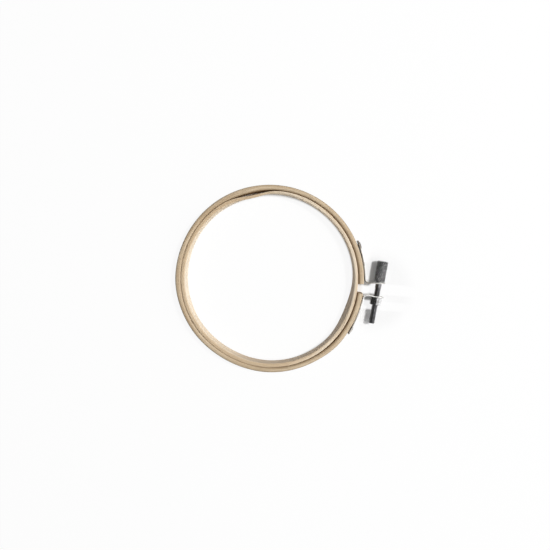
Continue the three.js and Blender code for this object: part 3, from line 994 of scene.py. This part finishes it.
def shank_rings():
    """A smooth neck, then an ISO thread cut as a true helix, with a chamfered, dished end."""
    y = np.arange(-SCREW_END, HEAD_SEAT + SHANK_IN_HEAD, THREAD_PITCH / THREAD_STEPS)
    turn = np.arange(SHANK_COLUMNS) / SHANK_COLUMNS
    phase = y[:, None] / THREAD_PITCH - turn
    radius = SCREW_RADIUS - THREAD_DEPTH * cut_off(triangle_wave(phase), THREAD_WAVE)
    run_out = np.clip((y - NECK_START) / RUN_OUT, 0, 1)[:, None]
    neck = np.minimum(radius + THREAD_DEPTH * run_out, SCREW_RADIUS - NECK_EASE)
    radius = radius * (1 - run_out) + neck * run_out
    chamfer = SCREW_RADIUS - END_CHAMFER + (y + SCREW_END)[:, None] * END_SLOPE
    radius = np.minimum(radius, chamfer)
    dish = plain_rings(DISH_RADII, SHANK_COLUMNS)
    return np.concatenate([-SCREW_END + np.array(DISH_DEPTHS), y]), np.concatenate([dish, radius])


def plain_rings(radii, columns):
    return np.repeat(np.array(radii)[:, None], columns, 1)


def head_rings():
    """Two crossed sets of helical grooves between turned chamfers, with a dished top.

    Returns heights, radii, how deep the knurl's points are in its grooves, and its first ring.
    """
    columns = KNURLS_ROUND * KNURL_COLUMNS
    top = HEAD_SEAT + HEAD_LENGTH
    low, high = HEAD_SEAT + HEAD_CHAMFER, top - HEAD_CHAMFER
    along = np.linspace(low, high, KNURL_RINGS)
    round_phase = KNURLS_ROUND * np.arange(columns) / columns
    along_phase = along[:, None] * KNURLS_ALONG / (high - low)
    first = triangle_wave(round_phase + along_phase)
    second = triangle_wave(round_phase - along_phase)
    groove = cut_off(np.maximum(first, second), KNURL_WAVE)
    edge = HEAD_RADIUS - HEAD_CHAMFER
    foot_y = [HEAD_SEAT + 0.02, HEAD_SEAT, HEAD_SEAT, HEAD_SEAT + 0.03, HEAD_SEAT + 0.12]
    foot_r = [0.6, 1.2, edge - 0.12, edge, edge + 0.09]
    cap_y = [top - 0.12, top - 0.03, top, top - 0.01, top - 0.09, top - 0.13, top - 0.14]
    cap_r = [edge + 0.09, edge, edge - 0.12, 2.0, 1.85, 1.2, 0.5]
    knurl_r = HEAD_RADIUS - KNURL_DEPTH * groove
    radius = np.concatenate([plain_rings(foot_r, columns), knurl_r, plain_rings(cap_r, columns)])
    return np.concatenate([foot_y, along, cap_y]), radius, groove, len(foot_y)


def build_screw():
    points, faces, uvs = closed_rings(*shank_rings())
    start, shank_faces = len(points), len(faces)
    y, radius, groove, first_knurl_ring = head_rings()
    more, more_faces, more_uvs = closed_rings(y, radius)
    grooves = np.full(start + len(more), PLAIN_GROOVE, np.float32)
    first_knurl = start + first_knurl_ring * radius.shape[1]
    grooves[first_knurl : first_knurl + groove.size] = groove.ravel()
    points += more
    faces += [tuple(start + k for k in face) for face in more_faces]
    uvs += more_uvs
    obj = clamp_piece("thumb_screw", points, faces, uvs, SCREW_SHARP)
    obj.data.attributes.new("groove", "FLOAT", "POINT").data.foreach_set("value", grooves)
    kinds = [0] * shank_faces + [1] * (len(faces) - shank_faces)
    obj.data.polygons.foreach_set("material_index", kinds)
    return obj


def build_nut():
    """A hexagon with conical chamfers, eased corners and a threaded bore, as one closed loop of rings."""
    turn = 2 * np.pi * np.arange(NUT_COLUMNS) / NUT_COLUMNS
    wedge = (turn + math.pi / 6) % (math.pi / 3) - math.pi / 6
    corner = NUT_CORNER * math.cos(math.pi / 6) / np.cos(math.pi / 6 - np.abs(wedge))
    hexagon = np.minimum(corner, NUT_CORNER - NUT_CORNER_EASE)
    half = NUT_LENGTH / 2
    middle = -NUT_SEAT - half
    slope = math.tan(math.pi / 6)
    levels = np.concatenate([
        np.linspace(-half, -half + NUT_DENSE, NUT_DENSE_RINGS),
        np.linspace(-half + NUT_SPARSE, half - NUT_SPARSE, NUT_SPARSE_RINGS),
        np.linspace(half - NUT_DENSE, half, NUT_DENSE_RINGS),
    ])
    y, rows = [], []
    for level in levels:
        cone = NUT_CORNER - NUT_CHAMFER + (half - abs(level)) / slope
        y.append(middle + level)
        rows.append(np.minimum(hexagon, cone))
    bore = SCREW_RADIUS + BORE_CLEARANCE
    rim = np.full(NUT_COLUMNS, bore + BORE_CHAMFER)
    y.append(middle + half)
    rows.append(rim)
    for level in np.arange(half, -half - 1e-6, -THREAD_PITCH / BORE_STEPS):
        edge = max(0, BORE_CHAMFER - (half - abs(level)) * BORE_SLOPE)
        wave = triangle_wave(level / THREAD_PITCH - turn / (2 * np.pi) + 0.5)
        thread = BORE_THREAD_DEPTH * cut_off(wave, BORE_WAVE)
        rows.append(bore + np.maximum(thread, edge))
        sink = BORE_SINK if abs(level) > half - 1e-6 else 0
        y.append(middle + level - sink * np.sign(level))
    y.append(middle - half)
    rows.append(rim)
    y, radius = np.array(y), np.array(rows)
    rings = len(y)
    faces = ring_grid(rings, NUT_COLUMNS, True)
    travel = ring_travel(y, radius)
    travel = np.append(travel, travel[-1] + 1)
    round_v = NUT_UV_RADIUS * 2 * np.pi * np.arange(NUT_COLUMNS + 1) / NUT_COLUMNS
    uvs = grid_uvs(travel, round_v, rings, NUT_COLUMNS, True)
    return clamp_piece("clamp_nut_body", ring_points(y, radius), faces, uvs, NUT_SHARP)


def clamp_piece(name, points, faces, uvs, angle):
    obj = make_object(name, points, faces, uvs)
    place = Matrix.Translation(((SCREW_X + HOOP_X) * MM, 0, HALF * MM)) @ Matrix.Rotation(-LEAN, 4, "Z")
    obj.data.transform(place)
    bm = bmesh.new()
    bm.from_mesh(obj.data)
    bmesh.ops.recalc_face_normals(bm, faces=bm.faces[:])
    bm.to_mesh(obj.data)
    bm.free()
    shade(obj, angle)
    return obj


# The object


def dress(obj, body, node, slot_name, *materials):
    for material in materials:
        obj.data.materials.append(material)
    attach(obj, body)
    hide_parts(node)


outer_wood = bamboo(
    "outer_bamboo", srgb(220, 201, 172), srgb(202, 179, 147), srgb(162, 131, 95), 3.0,
    glossy=(8.6, 12.6),
    painted_light_and_shade=(
        # painted shade: the outer strip's seam side darker everywhere but on the left, which faces the light
        ((-30, 118), (11.4, 24), 0.6, srgb(150, 126, 94), 0.4),
        ((236, 340), (11.4, 24), 0.6, srgb(150, 126, 94), 0.4),
        # painted shade: the outer wall and its rounded edge darker all round
        (None, (-2, 9.4), 0.9, srgb(132, 112, 90), 0.6),
        # painted light: the outer wall and its top edge paler beside the plates, offsetting the shade they
        # cast
        ((-30, 26), (3.5, 10.8), 0.8, srgb(216, 198, 170), 0.8),
        ((297, 360), (3.5, 10.8), 0.8, srgb(216, 198, 170), 0.8),
        # painted shade: the outer strip's seam side brown just below its top edge, in the seam
        (None, (12.9, 15.4), 0.4, srgb(148, 106, 62), 0.8),
    ),
)
half_split = math.asin(SPLIT_WIDTH / 2 / OUTER_RADIUS)
outer = build_strip(
    "outer_strip", half_split, 2 * math.pi - half_split, False, outer_seam_side, outer_outside,
    np.zeros_like, OUTER_EDGES, CLAMPED_EDGES, 11,
)
for rivet_side in (1, -1):
    for rivet_angle in (NEAR_RIVET, FAR_RIVET):
        cut(outer, rivet_cutter(rivet_angle, rivet_side))
shade(outer, WOOD_SHARP)
outer.data.materials.clear()
sawn_end = end_grain("outer_end_grain", srgb(214, 178, 132), srgb(190, 146, 98))
dress(outer, "outer_hoop_assembly", "outer_hoop", "outer_wood", outer_wood, sawn_end)

scarf_start = math.radians(SCARF[0] - SCARF_LEAD)
inner_wood = bamboo(
    "inner_bamboo", srgb(242, 228, 206), srgb(232, 212, 184), srgb(198, 168, 130), 8.0,
    glossy=(9.2, 19.5),
    painted_light_and_shade=(
        # painted shade: the inner strip's top darker tan from the top round the left to the bottom
        ((110, 285), (9.2, 11.2), 0.4, srgb(204, 178, 142), 0.75),
        # painted light: the inner wall paler on the left, where it faces the light
        ((150, 222), (11.6, 19.5), 0.6, srgb(250, 240, 222), 0.5),
        # painted shade: the inner wall grey-brown on the right and at the bottom, where it faces away from
        # the light
        ((-30, 45), (11.6, 19.5), 0.6, srgb(172, 154, 136), 0.6),
        ((252, 340), (11.6, 19.5), 0.6, srgb(172, 154, 136), 0.6),
        # painted shade: the upper part of the inner strip's seam side brown, in the seam
        (None, (6.9, 9.1), 0.25, srgb(146, 106, 64), 0.75),
    ),
    scarf=(8.0, 9.7, 42.0, 13.0),
)
inner = build_strip(
    "inner_strip", scarf_start, scarf_start + 2 * math.pi, True, inner_inside, inner_outside, inner_lean,
    INNER_EDGES, INNER_EDGES, 12,
)
shade(inner, WOOD_SHARP)
dress(inner, "inner_hoop_body", "inner_hoop", "inner_wood", inner_wood)

sheet_metal = plated("nickel_sheet", srgb(206, 204, 200), srgb(160, 157, 150), (0.24, 0.42), (150, 9000), 0.5)
plate_length, bend_length = bracket_path()[:2]
# the upper cut edge keeps its painted shade until just past the bend
shaded_length = plate_length + bend_length + 1.2
# painted light and shade on the cut edges: a shaded copy for the upper bracket, dark along its plate, and a
# lit copy for the lower one, pale along its plate
lit_and_shaded_cut_edges = {
    "upper": sheared_edge("upper_cut_edge_painted_shade", srgb(128, 120, 110), srgb(190, 188, 184), shaded_length),
    "lower": sheared_edge("lower_cut_edge_painted_light", srgb(206, 201, 194), srgb(222, 221, 218), plate_length),
}
# painted light and shade: a darker, shaded copy of the rivets' nickel for the upper bracket and a paler, lit
# copy for the lower one
lit_and_shaded_rivet_metals = {
    "upper": plated(
        "upper_rivet_nickel_shaded", srgb(150, 145, 138), srgb(112, 106, 99), (0.46, 0.62), (500, 500), 0.6,
    ),
    "lower": plated(
        "lower_rivet_nickel_lit", srgb(204, 199, 192), srgb(168, 163, 155), (0.42, 0.56), (500, 500), 0.5,
    ),
}
for end_name, end_side in (("upper", 1), ("lower", -1)):
    plate = build_bracket(f"{end_name}_folded_bracket", end_side, (sheet_metal, lit_and_shaded_cut_edges[end_name]))
    dress(plate, "outer_hoop_assembly", f"{end_name}_bracket", "bracket_metal")
    for spot, rivet_angle, head in (("near", NEAR_RIVET, LOW_HEAD), ("far", FAR_RIVET, DOMED_HEAD)):
        piece = build_rivet(f"{end_name}_{spot}_rivet_body", rivet_angle, end_side, head)
        dress(piece, "outer_hoop_assembly", f"{end_name}_{spot}_rivet", "rivet_metal", lit_and_shaded_rivet_metals[end_name])

dress(
    build_screw(), "screw_body", "clamp_screw", "screw_metal",
    plated("shank_nickel", srgb(138, 138, 141), srgb(106, 105, 105), (0.26, 0.38), (400, 5000), 0.45),
    plated(
        "dark_nickel", srgb(84, 84, 87), srgb(60, 60, 62), (0.24, 0.34), (400, 5000), 0.3,
        # the knob's knurl: painted glints on its crests and painted shade in its grooves
        rubbed_glint_and_groove_shade=(srgb(252, 252, 253), srgb(14, 14, 16)),
    ),
)
dress(
    build_nut(), "nut_body", "clamp_nut", "nut_metal",
    plated("nut_nickel", srgb(206, 206, 207), srgb(140, 139, 138), (0.16, 0.28), (300, 5000), 0.6),
)


# Floor, light and camera


def add_floor():
    side = FLOOR_STEPS + 1
    at = [(k / FLOOR_STEPS - 0.5) * FLOOR_SIZE for k in range(side)]
    points = [(x, y, 0) for y in at for x in at]
    faces = []
    for row in range(FLOOR_STEPS):
        for column in range(FLOOR_STEPS):
            k = row * side + column
            faces.append((k, k + 1, k + side + 1, k + side))
    floor = make_object("floor", points, faces)
    floor.data.materials.append(paper("paper_white"))


def add_area(name, elevation, azimuth, distance, size, power):
    light = bpy.data.lights.new(name, "AREA")
    light.shape = "DISK"
    light.size = size
    light.energy = power
    e, a = math.radians(elevation), math.radians(azimuth)
    direction = Vector((math.cos(e) * math.cos(a), math.cos(e) * math.sin(a), math.sin(e)))
    obj = add_object(name, light)
    obj.location = direction * distance
    obj.rotation_euler = (-direction).to_track_quat("-Z", "Y").to_euler()
    obj.visible_camera = False


def dim_room():
    """A world that is darkest on the left, with a plain white backdrop round it.

    The backdrop is seen all round, and low down in what the metal reflects.
    """
    world = bpy.data.worlds.new("studio")
    world.use_nodes = True
    n = Nodes(world.node_tree)
    direction = n.split("Generated")
    east, height = direction[0], direction[2]
    ceiling = n.math("MULTIPLY", n.ramp(height, 0.38, 1.0, 0.02, 0.36), n.ramp(east, -0.8, 0.2, 0.3, 1.0))
    strength = n.math("ADD", ceiling, n.ramp(east, -0.2, 0.9, 0.0, 0.12))
    path = n.add("LightPath").outputs
    backdrop = n.math("MULTIPLY", n.ramp(height, 0.3, 0.42, 1.0, 0.0), path["Is Glossy Ray"])
    for shown in (backdrop, path["Is Camera Ray"], path["Is Transmission Ray"]):
        strength = n.math("MAXIMUM", strength, shown)
    n.fill(n.tree.nodes["Background"], {"Color": (1, 1, 1, 1), "Strength": strength})
    return world


def add_camera():
    camera = add_object("camera", bpy.data.cameras.new("camera"))
    eye = Vector((HOOP_X + EYE[0], EYE[1], EYE[2])) * MM
    look = Vector((HOOP_X + LOOK[0], LOOK[1], LOOK[2])) * MM
    back = (eye - look).normalized()
    right = Vector(UP).cross(back).normalized()
    turn = Matrix((right, back.cross(right), back)).transposed().to_4x4()
    camera.matrix_world = Matrix.Translation(eye) @ turn
    camera.data.sensor_width = SENSOR
    camera.data.lens = SENSOR * FOCAL_PIXELS / PICTURE_PIXELS
    camera.data.clip_start = CLIP_START
    return camera


add_floor()
# a small high key from the right, with a broad low softbox beside it
add_area("key", elevation=60, azimuth=24, distance=1.2, size=0.12, power=8.95)
add_area("softbox", elevation=36, azimuth=2, distance=1.1, size=1.5, power=5.37)

scene = bpy.context.scene
scene.world = dim_room()
scene.view_settings.view_transform = "Standard"
scene.camera = add_camera()
